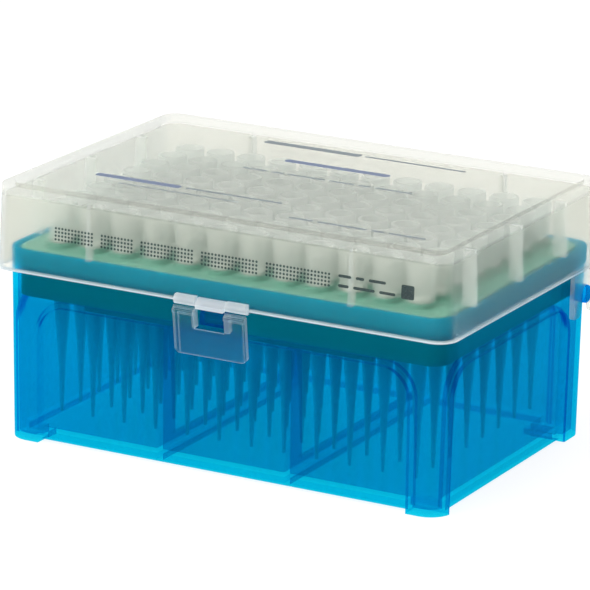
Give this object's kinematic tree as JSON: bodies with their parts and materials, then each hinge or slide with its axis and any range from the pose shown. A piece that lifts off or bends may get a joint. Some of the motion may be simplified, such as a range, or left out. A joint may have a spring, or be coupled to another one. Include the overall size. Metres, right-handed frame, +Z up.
{
  "type": "box of pipette tips",
  "caption": "Hinged plastic rack box of filtered pipette tips: translucent blue base, green tip tray, frosted lid with a flap latch.",
  "frame": {"origin": "centre of the bottom of the box's bounding box, on the surface it stands on", "axes": "+X along the long side, to the right seen from the latch; -Y towards the latch; +Z up"},
  "size_m": [0.1272, 0.0896, 0.0658],
  "materials": {
    "blue_plastic": "smooth translucent blue",
    "green_plastic": "smooth mint green",
    "frosted_plastic": "frosted natural plastic",
    "tip_plastic": "smooth natural plastic",
    "filter": "fine porous white"
  },
  "bodies": {
    "base": {"rack_base": "blue_plastic", "tip_tray": "green_plastic", "tips_column_01": "tip_plastic", "tips_column_02": "tip_plastic", "tips_column_03": "tip_plastic", "tips_column_04": "tip_plastic", "tips_column_05": "tip_plastic", "tips_column_06": "tip_plastic", "tips_column_07": "tip_plastic", "tips_column_08": "tip_plastic", "tips_column_09": "tip_plastic", "tips_column_10": "tip_plastic", "tips_column_11": "tip_plastic", "tips_column_12": "tip_plastic", "filters_column_01": "filter", "filters_column_02": "filter", "filters_column_03": "filter", "filters_column_04": "filter", "filters_column_05": "filter", "filters_column_06": "filter", "filters_column_07": "filter", "filters_column_08": "filter", "filters_column_09": "filter", "filters_column_10": "filter", "filters_column_11": "filter", "filters_column_12": "filter"},
    "lid": {"lid": "frosted_plastic"},
    "latch": {"latch_flap": "frosted_plastic"}
  },
  "joints": [
    {"name": "lid_hinge", "type": "hinge", "parent": "base", "child": "lid", "pos_m": [0, 0.0349, 0.0379], "axis": [-1, 0, 0], "range_deg": [0, 95]},
    {"name": "latch_hinge", "type": "hinge", "parent": "lid", "child": "latch", "pos_m": [0, -0.0439, 0.0435], "axis": [-1, 0, 0], "range_deg": [0, 95]}
  ]
}
